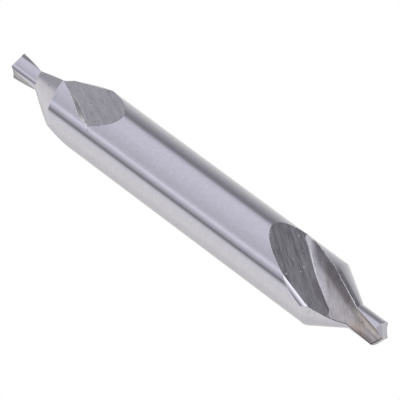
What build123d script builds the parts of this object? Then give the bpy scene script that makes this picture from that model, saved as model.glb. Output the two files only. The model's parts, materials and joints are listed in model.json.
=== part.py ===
# Double-ended centre drill with two flutes at each end.
# The axis of the tool is X. The origin is the middle of the body.
# Each end is ground with the same kinds of cut, made here for the +X end in a
# frame where +Y points at one cutting lip and the flute opens towards +Z.
from math import cos, radians, sin, tan
from build123d import *
import os

# Bar
body_diameter = 7.9375
pilot_diameter = 3.175
overall_length = 56.0
shoulder_station = 19.7
countersink_angle = 60.0

# Roll of the lips about X, measured from +Y
right_lip_angle = 75.0
left_lip_angle = 93.0

# Point: two flat flanks that meet in the chisel edge
point_angle = 118.0
right_flank_direction = -28.0
left_flank_direction = -11.0

# Short face along each lip of the right point, from the end of the chisel edge
chisel_half = 0.55
lip_face_tilt = 52.4
lip_face_direction = 24.3

# Clearance behind the lips: each land is round about its own shifted axis
right_cone_shift = 0.17
right_cone_direction = 50.0
left_cone_shift = 0.37
left_cone_direction = 70.0
pilot_shift = 0.11
pilot_direction = 50.0
pilot_lip_direction = 30.0

# Flute floor: a flat that runs out along the body, given by its height above
# the axis at the shoulder
floor_height = 0.65
floor_tilt = 21.0
floor_direction = 2.3

# Line on the floor up to which the flat was ground
valley_turn = -30.0
valley_offset = -1.8
valley_fillet = 0.25

# Flute trough: places of the rounded wheel edge, measured from the shoulder,
# as distance along X, centre in Y and Z, and radius
trough_path = [
    (-7.7, 8.31, -2.73, 4.63),
    (-5.93, 6.96, -0.81, 4.32),
    (-4.3, 5.03, 1.01, 3.62),
    (-1.7, 3.63, 2.66, 3.50),
    (0.3, 2.78, 2.42, 2.73),
    (2.8, 1.72, 2.20, 2.11),
    (6.3, 0.58, 2.00, 1.47),
    (7.7, 0.20, 1.97, 1.41),
    (9.3, -0.20, 1.97, 1.38),
]

# Heel facet on the body behind the flute
heel_station = 15.45
heel_end_station = 22.3
heel_direction = 47.5
right_heel_tilt = 13.3
left_heel_tilt = 19.5

# Derived sizes
body_radius = body_diameter / 2
pilot_radius = pilot_diameter / 2
tip_station = overall_length / 2
cone_slope = tan(radians(countersink_angle / 2))
reach = body_diameter
allowance = pilot_radius / 3
clearance = body_radius / 3


def facet(station, radius, tilt, direction, at=None):
    # Plane that faces outwards at the roll "direction", leaning to the tip by "tilt"
    roll = radians(direction)
    lean = radians(tilt)
    spot = radians(direction if at is None else at)
    return Plane(
        origin=(station, radius * cos(spot), radius * sin(spot)),
        x_dir=(cos(lean), -sin(lean) * cos(roll), -sin(lean) * sin(roll)),
        z_dir=(sin(lean), cos(lean) * cos(roll), cos(lean) * sin(roll)),
    )


def land_plane(direction):
    roll = radians(direction + 180)
    return Plane(origin=(0, 0, 0), x_dir=(1, 0, 0), z_dir=(0, -sin(roll), cos(roll)))


def land_relief(cone_shift, cone_direction):
    shoulder_radius = body_radius - cone_shift * cos(radians(cone_direction))
    outer_radius = body_radius + clearance
    inner_radius = pilot_radius / 2
    start_station = shoulder_station - (outer_radius - shoulder_radius) / cone_slope
    inner_station = shoulder_station + (shoulder_radius - inner_radius) / cone_slope
    past_tip = tip_station + clearance
    cone_plane = land_plane(cone_direction)
    land_radius = pilot_radius - pilot_shift * cos(
        radians(pilot_direction - pilot_lip_direction))
    pilot_plane = land_plane(pilot_direction)
    with BuildPart() as relief:
        with BuildSketch(cone_plane):
            with BuildLine():
                Polyline(
                    (start_station, outer_radius - cone_shift),
                    (inner_station, inner_radius - cone_shift),
                    (past_tip, inner_radius - cone_shift),
                    (past_tip, outer_radius - cone_shift),
                    close=True,
                )
            make_face()
        revolve(
            axis=Axis(cone_plane.from_local_coords((0, -cone_shift, 0)), (1, 0, 0)),
            revolution_arc=180,
        )
        with BuildSketch(pilot_plane):
            with BuildLine():
                Polyline(
                    (start_station - clearance, land_radius - pilot_shift),
                    (past_tip + clearance, land_radius - pilot_shift),
                    (past_tip + clearance, outer_radius + clearance),
                    (start_station - clearance, outer_radius + clearance),
                    close=True,
                )
            make_face()
        revolve(
            axis=Axis(pilot_plane.from_local_coords((0, -pilot_shift, 0)), (1, 0, 0)),
            mode=Mode.INTERSECT,
        )
    return relief.part


def heel_cut(tilt):
    heel_length = (heel_end_station - heel_station) / cos(radians(tilt))
    with BuildPart() as heel:
        with BuildSketch(facet(heel_station, body_radius, tilt, heel_direction)):
            with Locations((heel_length, 0)):
                Rectangle(3 * reach, 3 * reach, align=(Align.MAX, Align.MAX))
        extrude(amount=reach)
    return heel.part


def point_cut(*faces):
    with BuildPart() as point:
        with Locations(*faces):
            Box(2 * reach, 2 * reach, reach,
                align=(Align.CENTER, Align.CENTER, Align.MIN))
    return point.part


with BuildPart() as flute:
    for along, out, across, radius in trough_path:
        station = Plane(
            origin=(shoulder_station + along, out, across),
            x_dir=(0, 1, 0),
            z_dir=(1, 0, 0),
        )
        with BuildSketch(station):
            Circle(radius)
    loft()
    floor = facet(shoulder_station, floor_height, floor_tilt, floor_direction)
    with Locations(floor):
        Box(6 * reach, 6 * reach, 3 * reach,
            align=(Align.CENTER, Align.CENTER, Align.MIN), mode=Mode.INTERSECT)
    with BuildSketch(Plane(floor.location * Rotation(0, 0, valley_turn))):
        with Locations((0, valley_offset)):
            Rectangle(6 * reach, 3 * reach, align=(Align.CENTER, Align.MAX))
    extrude(amount=3 * reach)
    valley = flute.edges().filter_by(GeomType.BSPLINE).filter_by(
        lambda edge: abs(floor.to_local_coords(edge @ 0.5).Z) < 0.001)
    fillet(valley, radius=valley_fillet)

right_relief = land_relief(right_cone_shift, right_cone_direction)
left_relief = land_relief(left_cone_shift, left_cone_direction)
right_heel = heel_cut(right_heel_tilt)
left_heel = heel_cut(left_heel_tilt)
right_point = point_cut(
    facet(tip_station, 0, point_angle / 2, right_flank_direction),
    facet(tip_station, chisel_half, lip_face_tilt, lip_face_direction,
          at=right_flank_direction + 90),
)
left_point = point_cut(facet(tip_station, 0, point_angle / 2, left_flank_direction))

with BuildPart() as centre_drill:
    # Turned blank, left a little large on the cones and the pilots
    blank_radius = pilot_radius + allowance
    blank_station = shoulder_station + allowance / cone_slope
    with BuildSketch():
        with BuildLine():
            Polyline(
                (0, 0),
                (0, body_radius),
                (blank_station, body_radius),
                (blank_station + (body_radius - blank_radius) / cone_slope, blank_radius),
                (tip_station, blank_radius),
                (tip_station, 0),
                close=True,
            )
        make_face()
    revolve(axis=Axis.X)
    mirror(about=Plane.YZ)
    for turn in (0, 180):
        for cut in (right_relief, flute.part, right_heel, right_point):
            add(cut, rotation=(right_lip_angle + turn, 0, 0), mode=Mode.SUBTRACT)
        for cut in (left_relief, flute.part, left_heel, left_point):
            add(cut, rotation=(left_lip_angle + turn, 180, 0), mode=Mode.SUBTRACT)

centre_drill.part.label = "centre_drill"
os.makedirs("parts", exist_ok=True)
export_step(centre_drill.part, "parts/centre_drill.step")
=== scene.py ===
import json
import math
import bpy
from mathutils import Matrix, Vector

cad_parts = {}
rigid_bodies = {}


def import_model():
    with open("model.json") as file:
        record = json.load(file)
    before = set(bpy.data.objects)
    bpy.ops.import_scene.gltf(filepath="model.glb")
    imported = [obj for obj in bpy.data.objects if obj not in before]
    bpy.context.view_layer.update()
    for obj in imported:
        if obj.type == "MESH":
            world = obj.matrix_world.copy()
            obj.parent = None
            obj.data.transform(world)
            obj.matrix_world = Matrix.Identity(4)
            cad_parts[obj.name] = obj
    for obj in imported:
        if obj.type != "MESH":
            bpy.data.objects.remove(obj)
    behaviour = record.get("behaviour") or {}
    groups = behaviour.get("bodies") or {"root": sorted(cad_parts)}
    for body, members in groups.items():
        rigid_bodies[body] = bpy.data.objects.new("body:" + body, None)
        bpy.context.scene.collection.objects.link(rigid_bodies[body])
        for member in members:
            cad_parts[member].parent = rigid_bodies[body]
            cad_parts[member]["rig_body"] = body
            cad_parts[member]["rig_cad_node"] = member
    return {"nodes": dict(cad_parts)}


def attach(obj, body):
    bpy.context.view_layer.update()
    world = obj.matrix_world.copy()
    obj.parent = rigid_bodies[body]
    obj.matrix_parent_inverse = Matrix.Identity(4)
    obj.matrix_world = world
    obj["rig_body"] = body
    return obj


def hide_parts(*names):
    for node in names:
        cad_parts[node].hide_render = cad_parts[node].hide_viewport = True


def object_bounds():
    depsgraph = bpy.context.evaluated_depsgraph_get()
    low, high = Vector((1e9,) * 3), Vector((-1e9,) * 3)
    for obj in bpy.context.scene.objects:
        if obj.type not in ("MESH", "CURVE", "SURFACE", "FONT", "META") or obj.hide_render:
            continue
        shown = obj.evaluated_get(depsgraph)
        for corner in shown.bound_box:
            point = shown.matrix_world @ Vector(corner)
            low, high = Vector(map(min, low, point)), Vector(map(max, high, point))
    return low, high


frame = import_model()
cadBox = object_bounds()
scene = bpy.context.scene
scene.view_settings.view_transform = "Standard"
plainWhite = (1, 1, 1, 1)
mmPerMetre = 1000
print("frame loaded")

cameraPlace = {
    "location": (0.176038, -0.175701, 0.304394),
    "right": (0.71803, 0.69591, -0.01144),
    "up": (-0.53428, 0.56165, 0.63174),
    "back": (0.44607, -0.4475, 0.77509),
    "lens": 325.497,
    "sensorWidth": 36.0,
    "clipEnd": 10.0,
}


def addCamera(values):
    cameraData = bpy.data.cameras.new("photoCamera")
    cameraData.lens = values["lens"]
    cameraData.sensor_width = values["sensorWidth"]
    cameraData.clip_end = values["clipEnd"]
    holder = bpy.data.objects.new("photoCamera", cameraData)
    scene.collection.objects.link(holder)
    turn = Matrix((values["right"], values["up"], values["back"])).transposed()
    holder.matrix_world = Matrix.Translation(values["location"]) @ turn.to_4x4()
    scene.camera = holder


addCamera(cameraPlace)
print("camera placed")


def addNode(tree, kind, inputs=None, **settings):
    # a node with its settings, and sockets given as values or as links
    node = tree.nodes.new(kind)
    for name, value in settings.items():
        setattr(node, name, value)
    for socket, value in (inputs or {}).items():
        if isinstance(value, bpy.types.NodeSocket):
            tree.links.new(value, node.inputs[socket])
        else:
            node.inputs[socket].default_value = value
    return node


def addRamp(tree, factor, stops):
    ramp = addNode(tree, "ShaderNodeValToRGB", {"Fac": factor})
    elements = ramp.color_ramp.elements
    while len(elements) > 1:
        elements.remove(elements[-1])
    elements[0].position = stops[0][0]
    for place, shade in stops[1:]:
        elements.new(place)
    for element, (place, shade) in zip(elements, stops):
        tone = (shade, shade, shade) if isinstance(shade, float) else shade
        element.color = (*tone, 1.0)
    return ramp.outputs["Color"]


def calculate(tree, operation, first, second=0.0):
    return addNode(tree, "ShaderNodeMath", {0: first, 1: second},
                   operation=operation).outputs["Value"]


def multiply(tree, *factors):
    product = factors[0]
    for factor in factors[1:]:
        product = calculate(tree, "MULTIPLY", product, factor)
    return product


def dotWith(tree, vector, direction):
    return addNode(tree, "ShaderNodeVectorMath", {0: vector, 1: direction},
                   operation="DOT_PRODUCT").outputs["Value"]


def distanceTo(tree, vector, point):
    return addNode(tree, "ShaderNodeVectorMath", {0: vector, 1: point},
                   operation="DISTANCE").outputs["Value"]


def axesOf(tree, vector):
    return addNode(tree, "ShaderNodeSeparateXYZ", {0: vector}).outputs


def rescale(tree, value, limits):
    return addNode(tree, "ShaderNodeMapRange", {
        "Value": value, "From Min": limits[0], "From Max": limits[1],
    }).outputs["Result"]


def spread(tree, value, limits, start=0.0, end=1.0):
    # a soft step from start to end as the value goes from one limit to the other
    return addNode(tree, "ShaderNodeMapRange", {
        "Value": value, "From Min": limits[0], "From Max": limits[1],
        "To Min": start, "To Max": end,
    }, interpolation_type="SMOOTHSTEP").outputs["Result"]


def vary(tree, pattern, limits, contrast):
    return spread(tree, pattern, limits, 1 - contrast, 1 + contrast)


def blend(tree, factor, under, over, kind="MIX"):
    return addNode(tree, "ShaderNodeMixRGB", {"Fac": factor, 1: under, 2: over},
                   blend_type=kind).outputs["Color"]


def tint(tree, color, over, *masks):
    return blend(tree, multiply(tree, *masks), color, over)


def scaleColor(tree, color, factor):
    return addNode(tree, "ShaderNodeVectorMath", {0: color, "Scale": factor},
                   operation="SCALE").outputs["Vector"]


def noise(tree, vector, scale, detail=2.0):
    return addNode(tree, "ShaderNodeTexNoise", {
        "Vector": vector, "Scale": scale, "Detail": detail,
    }).outputs["Fac"]


def whiteForCamera(tree, shader, white):
    path = addNode(tree, "ShaderNodeLightPath")
    return addNode(tree, "ShaderNodeMixShader", {
        0: path.outputs["Is Camera Ray"], 1: shader, 2: white,
    }).outputs["Shader"]


# The studio is a tent of soft white with two darker gaps that run along the tool.
# Brightness is given by the angle in degrees about the tool's axis, from the
# camera's side, and past each end of the tool by the place across it.
studio = {
    "towardCamera": (0.0, -0.5, 0.866),
    "acrossTool": (0.0, 0.866, 0.5),
    "turn": (-180, 180),
    "across": (-1, 1),
    "tones": [
        (-180, (0.982, 0.972, 0.964)), (-90, (0.982, 0.972, 0.964)),
        (-40, (0.966, 0.960, 1.055)), (90, (0.966, 0.960, 1.055)),
        (130, (0.978, 0.973, 0.970)),
    ],
    "strength": 1.9,
    "levels": [
        (-180, 0.74), (-160, 0.77), (-145, 0.79), (-120, 0.90), (-100, 1.03),
        (-70, 1.02), (-62, 0.88), (-58, 0.54), (-53, 0.24), (-48, 0.50),
        (-40, 0.76), (-31, 1.12), (-24, 0.84), (-18, 0.75), (-4, 0.80), (10, 0.86),
        (30, 0.93), (58, 0.96), (70, 0.87), (76, 0.64), (80, 0.48), (84, 0.35),
        (92, 0.33), (100, 0.40), (115, 0.56), (130, 0.72), (145, 0.83), (170, 0.94),
    ],
    "overhead": {
        "along": 0.06, "reach": 0.16, "fade": 0.1,
        "around": -5, "width": 30, "turnFade": 12, "gain": 0.30,
    },
    "endWalls": [
        {
            "limits": (-0.68, -0.84),
            "levels": [
                (-0.35, 1.00), (-0.13, 0.92), (-0.03, 0.68), (0.06, 0.52),
                (0.20, 0.52), (0.32, 0.60), (0.52, 1.10),
            ],
        },
        {"limits": (0.74, 0.88), "levels": [(0.0, 0.72)]},
    ],
}


def rampParts(pairs, limits):
    # places between the limits become parts of a ramp
    low, high = limits
    return [((place - low) / (high - low), tone) for place, tone in pairs]


def levelParts(pairs, limits, strength):
    # levels are divided by the strength, which brings them back
    return [(part, level / strength) for part, level in rampParts(pairs, limits)]


def nearTo(tree, value, center, reach, fade):
    off = calculate(tree, "ABSOLUTE", calculate(tree, "SUBTRACT", value, center))
    return spread(tree, off, (reach, reach + fade), 1.0, 0.0)


def buildStudio(values):
    world = bpy.data.worlds.new("studio")
    world.use_nodes = True
    tree = world.node_tree
    background = tree.nodes["Background"]
    strength = values["strength"]
    direction = addNode(tree, "ShaderNodeTexCoord").outputs["Generated"]
    unit = addNode(tree, "ShaderNodeVectorMath", {0: direction},
                   operation="NORMALIZE").outputs["Vector"]
    near = dotWith(tree, unit, values["towardCamera"])
    over = dotWith(tree, unit, values["acrossTool"])
    along = axesOf(tree, unit)["X"]
    angle = calculate(tree, "ARCTAN2", over, near)
    turnPart = rescale(tree, angle, [math.radians(limit) for limit in values["turn"]])
    overPart = rescale(tree, over, values["across"])
    light = addRamp(tree, turnPart, levelParts(values["levels"], values["turn"], strength))
    for wall in values["endWalls"]:
        level = addRamp(tree, overPart, levelParts(wall["levels"], values["across"], strength))
        light = blend(tree, spread(tree, along, wall["limits"]), light, level)
    # a bright panel overhead, which only the flat faces catch
    lamp = values["overhead"]
    panel = multiply(
        tree,
        nearTo(tree, along, lamp["along"], lamp["reach"], lamp["fade"]),
        nearTo(tree, angle, math.radians(lamp["around"]), math.radians(lamp["width"]),
               math.radians(lamp["turnFade"])),
        lamp["gain"] / strength,
    )
    light = blend(tree, 1.0, light, panel, "ADD")
    tones = addRamp(tree, turnPart, rampParts(values["tones"], values["turn"]))
    light = blend(tree, 1.0, light, tones, "MULTIPLY")
    tree.links.new(light, background.inputs["Color"])
    background.inputs["Strength"].default_value = strength
    white = addNode(tree, "ShaderNodeBackground", {"Color": plainWhite, "Strength": 1.0})
    seen = whiteForCamera(tree, background.outputs["Background"], white.outputs["Background"])
    tree.links.new(seen, tree.nodes["World Output"].inputs["Surface"])
    scene.world = world


buildStudio(studio)

paleFloor = {
    "width": 4.0,
    "drop": 0.00005,
    "color": (0.93, 0.93, 0.93, 1),
    "roughness": 0.9,
}


def addFloor(values):
    lowest = cadBox[0][2] - values["drop"]
    bpy.ops.mesh.primitive_plane_add(size=values["width"], location=(0, 0, lowest))
    floor = bpy.context.object
    floor.name = "studioFloor"
    material = bpy.data.materials.new("paleFloor")
    material.use_nodes = True
    tree = material.node_tree
    body = tree.nodes["Principled BSDF"]
    body.inputs["Base Color"].default_value = values["color"]
    body.inputs["Roughness"].default_value = values["roughness"]
    white = addNode(tree, "ShaderNodeEmission", {"Color": plainWhite, "Strength": 1.0})
    seen = whiteForCamera(tree, body.outputs["BSDF"], white.outputs["Emission"])
    tree.links.new(seen, tree.nodes["Material Output"].inputs["Surface"])
    floor.data.materials.append(material)
    floor.visible_glossy = False


addFloor(paleFloor)
print("studio built")

# How the tool was ground, so that each face can be told by how it lies.
# Angles are in degrees: roll of the lips, and tilt and roll of each ground face.
ground = {
    "mergeDistance": 1e-7,
    "smoothAngle": 24.0,
    "rightLip": 75.0,
    "leftLip": 93.0,
    "floorTilt": 21.0,
    "floorRoll": 2.3,
    "floorPoint": (0.0197, 0.00065, 0.0),
    "onFloor": 0.00001,       # how far a face of the floor may lie off its plane
    "floorMatch": 0.985,      # least cosine to the plane's own direction
    "heelRoll": 47.5,
    "rightHeelTilt": 13.3,
    "leftHeelTilt": 19.5,
    "heelMatch": 0.9998,
    "pointStart": 0.0265,
    "pointLean": 0.5,
    "leanSlack": 0.03,
    # lean towards the tip, least share of it that faces outwards, least radius
    "roundSurfaces": {
        "body": (0.0, 0.97, 0.00369),
        "cone": (0.5, 0.80, 0.0),
        "pilot": (0.0, 0.90, 0.00119),
    },
    "flatSurfaces": ("fluteFloor", "heelFacet"),
}


def faceNormal(tilt, roll):
    lean = math.radians(tilt)
    spot = math.radians(roll)
    return Vector((
        math.sin(lean),
        math.cos(lean) * math.cos(spot),
        math.cos(lean) * math.sin(spot),
    ))


floorNormal = faceNormal(ground["floorTilt"], ground["floorRoll"])


def toLipFrame(vector, rightEnd, values):
    # +X to the tip, +Y to the lip, the flute open towards +Z
    roll = math.radians(values["rightLip"] if rightEnd else values["leftLip"])
    y = vector.y * math.cos(roll) + vector.z * math.sin(roll)
    z = -vector.y * math.sin(roll) + vector.z * math.cos(roll)
    if rightEnd:
        return Vector((vector.x, y, z))
    return Vector((-vector.x, y, -z))


def fluteOf(face, values):
    # the end, and whether it is the flute half a turn on, which is the same cut
    rightEnd = face.center.x > 0
    normal = toLipFrame(face.normal, rightEnd, values)
    return rightEnd, normal.y + normal.z < 0


def lipPlaceOf(point, face, values):
    rightEnd, turned = fluteOf(face, values)
    place = toLipFrame(point, rightEnd, values)
    if turned:
        place.y, place.z = -place.y, -place.z
    return place


def sortFace(face, values):
    # the name of the ground surface that a face belongs to
    place = lipPlaceOf(face.center, face, values)
    normal = lipPlaceOf(face.normal, face, values)
    offFloor = abs((place - Vector(values["floorPoint"])).dot(floorNormal))
    if normal.dot(floorNormal) > values["floorMatch"] and offFloor < values["onFloor"]:
        return "fluteFloor"
    heelTilt = values["rightHeelTilt" if face.center.x > 0 else "leftHeelTilt"]
    if normal.dot(faceNormal(heelTilt, values["heelRoll"])) > values["heelMatch"]:
        return "heelFacet"
    if place.x > values["pointStart"] and normal.x > values["pointLean"]:
        return "point"
    radius = math.hypot(place.y, place.z)
    outward = (normal.y * place.y + normal.z * place.z) / radius
    for name, (lean, leastOutward, leastRadius) in values["roundSurfaces"].items():
        if (abs(normal.x - lean) < values["leanSlack"] and outward > leastOutward
                and radius > leastRadius):
            return name
    return "trough"


def copyTool(values):
    source = frame["nodes"]["centre_drill"]
    bpy.ops.object.select_all(action="DESELECT")
    piece = source.copy()
    piece.data = source.data.copy()
    piece.name = "groundCentreDrill"
    piece.parent = None
    scene.collection.objects.link(piece)
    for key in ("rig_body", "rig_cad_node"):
        if key in piece:
            del piece[key]
    piece.data.materials.clear()
    piece.select_set(True)
    bpy.context.view_layer.objects.active = piece
    bpy.ops.mesh.customdata_custom_splitnormals_clear()
    bpy.ops.object.mode_set(mode="EDIT")
    bpy.ops.mesh.select_all(action="SELECT")
    bpy.ops.mesh.remove_doubles(threshold=values["mergeDistance"])
    bpy.ops.object.mode_set(mode="OBJECT")
    bpy.ops.object.shade_smooth_by_angle(angle=math.radians(values["smoothAngle"]))
    return piece


def sharpenBorders(mesh, surfaces, values):
    # an edge between two ground surfaces stays crisp, and each flat has one normal
    touching = {}
    flats = {}
    for face, surface in zip(mesh.polygons, surfaces):
        for key in face.edge_keys:
            touching.setdefault(key, set()).add(surface)
        if surface in values["flatSurfaces"]:
            flats.setdefault((surface, fluteOf(face, values)), []).append(face)
    for edge in mesh.edges:
        if len(touching[edge.key]) > 1:
            edge.use_edge_sharp = True
    normals = [Vector()] * len(mesh.loops)
    for faces in flats.values():
        mean = sum((face.normal * face.area for face in faces), Vector()).normalized()
        for face in faces:
            for loop in face.loop_indices:
                normals[loop] = mean
    mesh.normals_split_custom_set(normals)
    mesh.update()


def noteLipPlaces(mesh, values):
    # each flute's finish follows places in millimetres in its own lip frame
    places = mesh.attributes.new("lipPlace", "FLOAT_VECTOR", "CORNER")
    for face in mesh.polygons:
        for loop in face.loop_indices:
            point = mesh.vertices[mesh.loops[loop].vertex_index].co
            places.data[loop].vector = lipPlaceOf(point, face, values) * mmPerMetre


tool = copyTool(ground)
surfaces = [sortFace(face, ground) for face in tool.data.polygons]
sharpenBorders(tool.data, surfaces, ground)
noteLipPlaces(tool.data, ground)
print("faces sorted", {name: surfaces.count(name) for name in sorted(set(surfaces))})


# What every finish of the steel shares
bareSteel = {
    "metallic": 1.0,
    "bumpDepth": 0.00001,
    "bevelSamples": 8,
    "bevelRange": (0.998, 0.96),    # cosines between the rounded and the flat normal
    "endsMeet": (-0.001, 0.001),
}


def startSteel(name, values):
    material = bpy.data.materials.new(name)
    material.use_nodes = True
    tree = material.node_tree
    body = tree.nodes["Principled BSDF"]
    body.inputs["Metallic"].default_value = bareSteel["metallic"]
    body.inputs["Roughness"].default_value = values["roughness"]
    return material, tree, body


def objectPlace(tree):
    return addNode(tree, "ShaderNodeTexCoord").outputs["Object"]


def lipPlace(tree):
    return addNode(tree, "ShaderNodeAttribute", attribute_name="lipPlace").outputs["Vector"]


def byEnd(tree, left, right):
    # one value for the left end of the tool and another for the right end
    along = axesOf(tree, objectPlace(tree))["X"]
    return spread(tree, along, bareSteel["endsMeet"], left, right)


def wornEdge(tree, radius):
    # the normal rounded over an edge, and how far it leaves the flat one
    rounded = addNode(tree, "ShaderNodeBevel", {"Radius": radius},
                      samples=bareSteel["bevelSamples"]).outputs["Normal"]
    flat = addNode(tree, "ShaderNodeNewGeometry").outputs["Normal"]
    return rounded, spread(tree, dotWith(tree, rounded, flat), bareSteel["bevelRange"])


def speckle(tree, place, values):
    # a dot in the middle of some cells of a pattern
    cells = addNode(tree, "ShaderNodeTexVoronoi", {
        "Vector": place, "Scale": values["speckScale"],
    }).outputs
    return multiply(
        tree,
        spread(tree, cells["Distance"], values["speckSize"]),
        spread(tree, axesOf(tree, cells["Color"])["X"], values["speckShare"]),
    )


def finishSteel(tree, body, color, height, normal, values):
    bump = addNode(tree, "ShaderNodeBump", {
        "Height": height, "Normal": normal,
        "Strength": values["bump"], "Distance": bareSteel["bumpDepth"],
    })
    tree.links.new(color, body.inputs["Base Color"])
    tree.links.new(bump.outputs["Normal"], body.inputs["Normal"])


# Round surfaces: ground around the axis, with a faint mottle, a few specks and a painted
# highlight along their edges
roundGrind = {
    "color": (0.57, 0.56, 0.60, 1),
    "roughness": 0.14,
    "bump": 0.008,
    "rings": (5200.0, 90.0, 90.0),
    "ringRange": (0.3, 0.7),
    "ringContrast": 0.015,
    "mottleScale": 2400.0,
    "mottleRange": (0.35, 0.65),
    "mottleContrast": 0.02,
    "speckScale": 900.0,
    "speckSize": (0.14, 0.06),
    "speckShare": (0.86, 0.90),
    "speckColor": (0.30, 0.30, 0.31, 1),
    "edge": 0.00004,
    "edgeHighlight": (0.72, 0.71, 0.74, 1),
}


def roundSteel(name, values, addShadeAndWear=None, shadeAndWear=None):
    material, tree, body = startSteel(name, values)
    place = objectPlace(tree)
    stretched = addNode(tree, "ShaderNodeMapping", {
        "Vector": place, "Scale": values["rings"],
    }).outputs["Vector"]
    rings = noise(tree, stretched, scale=1.0)
    mottle = noise(tree, place, values["mottleScale"], detail=3.0)
    normal, edges = wornEdge(tree, values["edge"])
    # the edges are painted lighter: a painted highlight along them
    color = tint(tree, values["color"], values["edgeHighlight"], edges)
    color = scaleColor(tree, color, multiply(
        tree,
        vary(tree, rings, values["ringRange"], values["ringContrast"]),
        vary(tree, mottle, values["mottleRange"], values["mottleContrast"]),
    ))
    color = tint(tree, color, values["speckColor"], speckle(tree, place, values))
    # the cone adds painted shade with chips, the point adds painted shade
    if addShadeAndWear:
        color = addShadeAndWear(tree, color, edges, shadeAndWear)
    finishSteel(tree, body, color, rings, normal, values)
    return material


# The cone is painted darker close behind its lip, a painted shadow there, with small chips
# towards the body
coneShadeAndChips = {
    "lipShadowColor": (0.36, 0.35, 0.375, 1),
    "bandTilt": (-0.14, 0.0, 1.0),
    "bandDepth": (-3.70, -3.46),
    "bandStart": (19.6, 20.4),
    "behindLip": (0.5, 0.3),
    "chipColor": (0.20, 0.19, 0.19, 1),
    "chipScale": 4.0,
    "chipShare": (0.56, 0.62),
    "chipReach": (22.4, 21.4),
}


def shadeConeAndChips(tree, color, edges, values):
    place = lipPlace(tree)
    axes = axesOf(tree, place)
    lipShadow = multiply(
        tree,
        spread(tree, dotWith(tree, place, values["bandTilt"]), values["bandDepth"]),
        spread(tree, axes["X"], values["bandStart"]),
        spread(tree, axes["Z"], values["behindLip"]),
        byEnd(tree, 0.0, 1.0),
    )
    # painted shadow on the cone land close behind the lip; the chips fall only inside it
    color = tint(tree, color, values["lipShadowColor"], lipShadow)
    return tint(tree, color, values["chipColor"], lipShadow,
                spread(tree, noise(tree, place, values["chipScale"]), values["chipShare"]),
                spread(tree, axes["X"], values["chipReach"]))


# The right point has painted shade on one flank and a painted shadow line along its trailing
# rims
pointShade = {
    "trailing": (-0.12, -0.25),
    "shadedFlankSide": (0.0, -0.0002),
    "flankShadeColor": (0.26, 0.255, 0.26, 1),
    "cornerReach": (1.36, 1.44),
    "rimShadowColor": (0.05, 0.045, 0.045, 1),
}


def shadePoint(tree, color, edges, values):
    axes = axesOf(tree, lipPlace(tree))
    trailing = multiply(tree, spread(tree, axes["Z"], values["trailing"]), byEnd(tree, 0.0, 1.0))
    side = spread(tree, axesOf(tree, objectPlace(tree))["Y"], values["shadedFlankSide"])
    # painted shade on the trailing flank of the right point
    color = tint(tree, color, values["flankShadeColor"], trailing, side)
    # a painted shadow line along the trailing rims and the corner
    corner = spread(tree, axes["Y"], values["cornerReach"])
    rim = blend(tree, 1.0, edges, corner, "LIGHTEN")
    return tint(tree, color, values["rimShadowColor"], rim, trailing)


# Lines that a grinding wheel leaves along the flute
wheelLines = {
    "along": (0.832, -0.338, 0.440),
    "across": (0.423, -0.127, -0.897),
    "fineShare": 0.68,
}


def drawnOut(tree, place, share):
    # places across the wheel lines, and along them only by that share
    return addNode(tree, "ShaderNodeCombineXYZ", {
        "X": dotWith(tree, place, wheelLines["across"]),
        "Y": multiply(tree, dotWith(tree, place, wheelLines["along"]), share),
    }).outputs["Vector"]


def grindingLines(tree, place, values):
    lie = drawnOut(tree, place, values["stretch"])
    broad = noise(tree, lie, values["broadLines"], detail=1.0)
    fine = noise(tree, lie, values["fineLines"], detail=3.0)
    return blend(tree, wheelLines["fineShare"], broad, fine)


# Flute floor: dark, with wheel lines and small bright specks, dark ones on the left
floorGrind = {
    "roughness": 0.30,
    "bump": 0.25,
    "darkLine": (0.20, 0.197, 0.207, 1),
    "lightLine": (0.44, 0.434, 0.447, 1),
    "broadLines": 2.0,
    "fineLines": 13.0,
    "stretch": 0.045,
    "lineRange": (0.36, 0.64),
    "leftContrast": 0.45,           # on the left the lines fade towards an even shade
    "evenShade": (0.5, 0.5, 0.5, 1),
    "grainScale": 11.0,
    "grainRange": (0.3, 0.7),
    "grainContrast": 0.11,
    "rightSpeck": (0.95, 0.95, 0.95, 1),
    "leftSpeck": (0.06, 0.06, 0.06, 1),
    "speckScale": 2.1,
    "speckStretch": 0.6,
    "speckSize": (0.16, 0.096),
    "speckShare": (0.52, 0.57),
    "edge": 0.0001,
    "heelShadowLine": (0.05, 0.045, 0.045, 1),
    "heelReach": (19.8, 20.2),
}


def floorSteel(name, values):
    material, tree, body = startSteel(name, values)
    place = lipPlace(tree)
    lines = grindingLines(tree, place, values)
    contrast = byEnd(tree, values["leftContrast"], 1.0)
    shade = blend(tree, contrast, values["evenShade"], spread(tree, lines, values["lineRange"]))
    color = blend(tree, shade, values["darkLine"], values["lightLine"])
    grain = noise(tree, place, values["grainScale"])
    color = scaleColor(tree, color,
                       vary(tree, grain, values["grainRange"], values["grainContrast"]))
    rightSide = byEnd(tree, 0.0, 1.0)
    speck = blend(tree, rightSide, values["leftSpeck"], values["rightSpeck"])
    lie = drawnOut(tree, place, values["speckStretch"])
    color = tint(tree, color, speck, speckle(tree, lie, values))
    normal, edges = wornEdge(tree, values["edge"])
    # a painted shadow line along the heel's edge, on the right end
    color = tint(tree, color, values["heelShadowLine"], edges, rightSide,
                 spread(tree, axesOf(tree, place)["X"], values["heelReach"]))
    finishSteel(tree, body, color, lines, normal, values)
    return material
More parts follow.
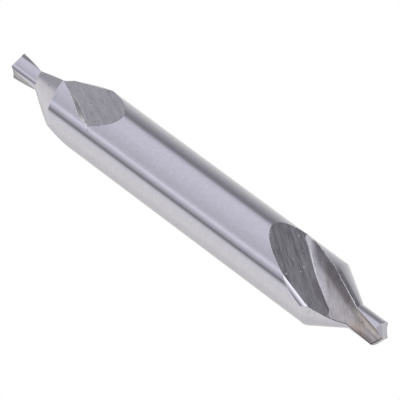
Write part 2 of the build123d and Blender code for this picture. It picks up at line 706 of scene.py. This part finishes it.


# Trough: smoother, a painted highlight on the valley beside the floor, painted shade
# along the lip, a little browned by heat at the pilot. Places are in millimetres in the lip
# frame.
troughGrindAndPaintedLight = {
    "roughness": 0.36,
    "bump": 0.12,
    "color": (0.43, 0.415, 0.417, 1),
    "broadLines": 1.2,
    "fineLines": 7.0,
    "stretch": 0.08,
    "lineRange": (0.35, 0.65),
    "lineContrast": 0.08,
    "mottleScale": 1.7,
    "mottleRange": (0.35, 0.65),
    "mottleContrast": 0.06,
    "heatColor": (0.425, 0.366, 0.320, 1),
    "heatReach": (20.5, 24.3),
    "heatAt": (25.1, -0.45, 1.05),
    "heatSize": (1.5, 0.2),
    "heatLevels": (0.28, 0.95),
    "runoutHighlight": (0.98, 0.96, 0.98, 1),
    "runoutReach": (19.6, 18.8),
    "lipShadeColor": (0.34, 0.32, 0.318, 1),
    "lipShadeTipward": (24.5, 22.5),
    "lipShadeBodyward": (18.0, 19.5),
    "lipShadeByLip": (-0.2, 1.6),
    "lipShadeAmount": 0.75,
    "upperShadeReach": (21.5, 19.0),
    "upperShadeAmount": 0.5,
    "valleyHighlight": (0.56, 0.545, 0.560, 1),
    "valleySide": (7.68, 7.58),     # these two are limits across the wheel lines
    "shoulderSide": (8.01, 7.73),
    "shoulderReach": (19.2, 20.9),
    "shoulderAmount": 0.9,
    "pilotReach": (23.8, 26.0),
    "paintedLightSide": (-0.85, -0.25),
    "paintedLightLevel": 1.18,
    "paintedShadeSide": (-0.9, -1.75),
    "paintedShadeLevel": 0.56,
    "edge": 0.00021,
    "edgeRange": (0.0, 0.5),
    "lipHighlight": (0.95, 0.95, 0.95, 1),
    "lipSide": (0.0, 0.3),
    "lipFade": (25.0, 23.5),
    "lipLeast": 0.3,
    "chipScale": 3.0,
    "chipShare": (0.40, 0.52),
    "chipEnd": (21.4, 22.0),
    "heelShadowLine": (0.05, 0.045, 0.045, 1),
    "heelSide": (0.0, -0.3),
    "heelReach": (20.0, 20.6),
    "stainColor": (0.12, 0.11, 0.11, 1),
    "stainAt": (0.02514, -0.00039, 0.00056),    # in metres, in the tool's own frame
    "stainSize": (0.00017, 0.00006),
    "stainAmount": 0.5,
}


def troughSteel(name, values):
    material, tree, body = startSteel(name, values)
    place = lipPlace(tree)
    axes = axesOf(tree, place)
    tipward = axes["X"]
    acrossPart = dotWith(tree, place, wheelLines["across"])
    nearLip = calculate(tree, "SUBTRACT", axes["Y"], axes["Z"])
    rightSide = byEnd(tree, 0.0, 1.0)
    lines = grindingLines(tree, place, values)

    heat = spread(tree, distanceTo(tree, place, values["heatAt"]),
                  values["heatSize"], *values["heatLevels"])
    color = tint(tree, values["color"], values["heatColor"], heat, rightSide,
                 spread(tree, tipward, values["heatReach"]))
    # a painted highlight, near white, where the left flute runs out
    color = tint(tree, color, values["runoutHighlight"], byEnd(tree, 1.0, 0.0),
                 spread(tree, tipward, values["runoutReach"]))
    # painted shade along the lip, on the cone
    color = tint(tree, color, values["lipShadeColor"], values["lipShadeAmount"],
                 spread(tree, tipward, values["lipShadeTipward"]),
                 spread(tree, tipward, values["lipShadeBodyward"]),
                 spread(tree, nearLip, values["lipShadeByLip"]))
    # more painted shade in the upper part of the right flute
    color = tint(tree, color, values["lipShadeColor"], values["upperShadeAmount"], rightSide,
                 spread(tree, tipward, values["upperShadeReach"]))
    # a painted highlight along the valley beside the floor, softer on its outer shoulder
    color = tint(tree, color, values["valleyHighlight"], rightSide,
                 spread(tree, acrossPart, values["shoulderSide"]),
                 spread(tree, tipward, values["shoulderReach"], values["shoulderAmount"], 0.0))
    color = tint(tree, color, values["valleyHighlight"],
                 spread(tree, acrossPart, values["valleySide"]))

    # on the pilot the flute is painted lighter by its lip and painted darker by its heel:
    # painted light and shade
    onPilot = multiply(tree, spread(tree, tipward, values["pilotReach"]), rightSide)
    light = multiply(tree, onPilot, spread(tree, nearLip, values["paintedLightSide"]))
    dark = multiply(tree, onPilot, spread(tree, nearLip, values["paintedShadeSide"]))
    mottle = noise(tree, place, values["mottleScale"], detail=3.0)
    color = scaleColor(tree, color, multiply(
        tree,
        vary(tree, lines, values["lineRange"], values["lineContrast"]),
        vary(tree, mottle, values["mottleRange"], values["mottleContrast"]),
        spread(tree, light, (0.0, 1.0), 1.0, values["paintedLightLevel"]),
        spread(tree, dark, (0.0, 1.0), 1.0, values["paintedShadeLevel"]),
    ))

    # the lip edge is painted bright, a painted highlight on a worn edge, in chipped patches
    # towards the body; a painted shadow line darkens the heel's edge
    normal, edges = wornEdge(tree, values["edge"])
    edges = multiply(tree, spread(tree, edges, values["edgeRange"]), rightSide)
    chips = spread(tree, noise(tree, place, values["chipScale"]), values["chipShare"])
    whole = spread(tree, tipward, values["chipEnd"])
    color = tint(tree, color, values["lipHighlight"], edges,
                 blend(tree, whole, chips, plainWhite, "LIGHTEN"),
                 spread(tree, nearLip, values["lipSide"]),
                 spread(tree, tipward, values["lipFade"], values["lipLeast"], 1.0))
    # a painted shadow line along the heel's edge
    color = tint(tree, color, values["heelShadowLine"], edges,
                 spread(tree, nearLip, values["heelSide"]),
                 spread(tree, tipward, values["heelReach"]))
    fromStain = distanceTo(tree, objectPlace(tree), values["stainAt"])
    color = tint(tree, color, values["stainColor"], values["stainAmount"],
                 spread(tree, fromStain, values["stainSize"]))
    finishSteel(tree, body, color, lines, normal, values)
    return material


# Heel facet: a painted highlight at the flute, painted shade darker to where it leaves the body.
# Depths are in millimetres below the plane of the flute floor.
heelGrindAndPaintedLight = {
    "roughness": 0.2,
    "bump": 0.05,
    "grainScale": 6.0,
    "fluteSideHighlight": (0.85, 0.85, 0.86, 1),
    "middleShade": (0.52, 0.52, 0.54, 1),
    "bodySideShade": (0.20, 0.20, 0.21, 1),
    "middleDepth": (0.10, 0.20),
    "bodyDepth": (0.20, 0.36),
    "edge": 0.00003,
}


def heelSteel(name, values):
    material, tree, body = startSteel(name, values)
    place = lipPlace(tree)
    floorLevel = Vector(ground["floorPoint"]).dot(floorNormal) * mmPerMetre
    depth = calculate(tree, "SUBTRACT", floorLevel, dotWith(tree, place, floorNormal))
    # painted light and shade on the flat facet, by depth below the floor's plane
    color = tint(tree, values["fluteSideHighlight"], values["middleShade"],
                 spread(tree, depth, values["middleDepth"]))
    color = tint(tree, color, values["bodySideShade"], spread(tree, depth, values["bodyDepth"]))
    normal, edges = wornEdge(tree, values["edge"])
    grain = noise(tree, place, values["grainScale"])
    finishSteel(tree, body, color, grain, normal, values)
    return material


pointGrind = {
    **roundGrind,
    "roughness": 0.2,
    "edge": 0.00012,
    # the point's edges get no painted highlight: their colour is the plain one
    "edgeHighlight": roundGrind["color"],
}

materials = {
    "body": roundSteel("bodySteel", {**roundGrind, "roughness": 0.10}),
    "cone": roundSteel("coneSteel", roundGrind, shadeConeAndChips, coneShadeAndChips),
    "pilot": roundSteel("pilotSteel", roundGrind),
    "fluteFloor": floorSteel("fluteFloorSteel", floorGrind),
    "trough": troughSteel("troughSteel", troughGrindAndPaintedLight),
    "heelFacet": heelSteel("heelFacetSteel", heelGrindAndPaintedLight),
    "point": roundSteel("pointSteel", pointGrind, shadePoint, pointShade),
}
surfaceOrder = list(materials)
for material in materials.values():
    tool.data.materials.append(material)
for face, surface in zip(tool.data.polygons, surfaces):
    face.material_index = surfaceOrder.index(surface)
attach(tool, "root")
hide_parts("centre_drill")
print("tool finished")
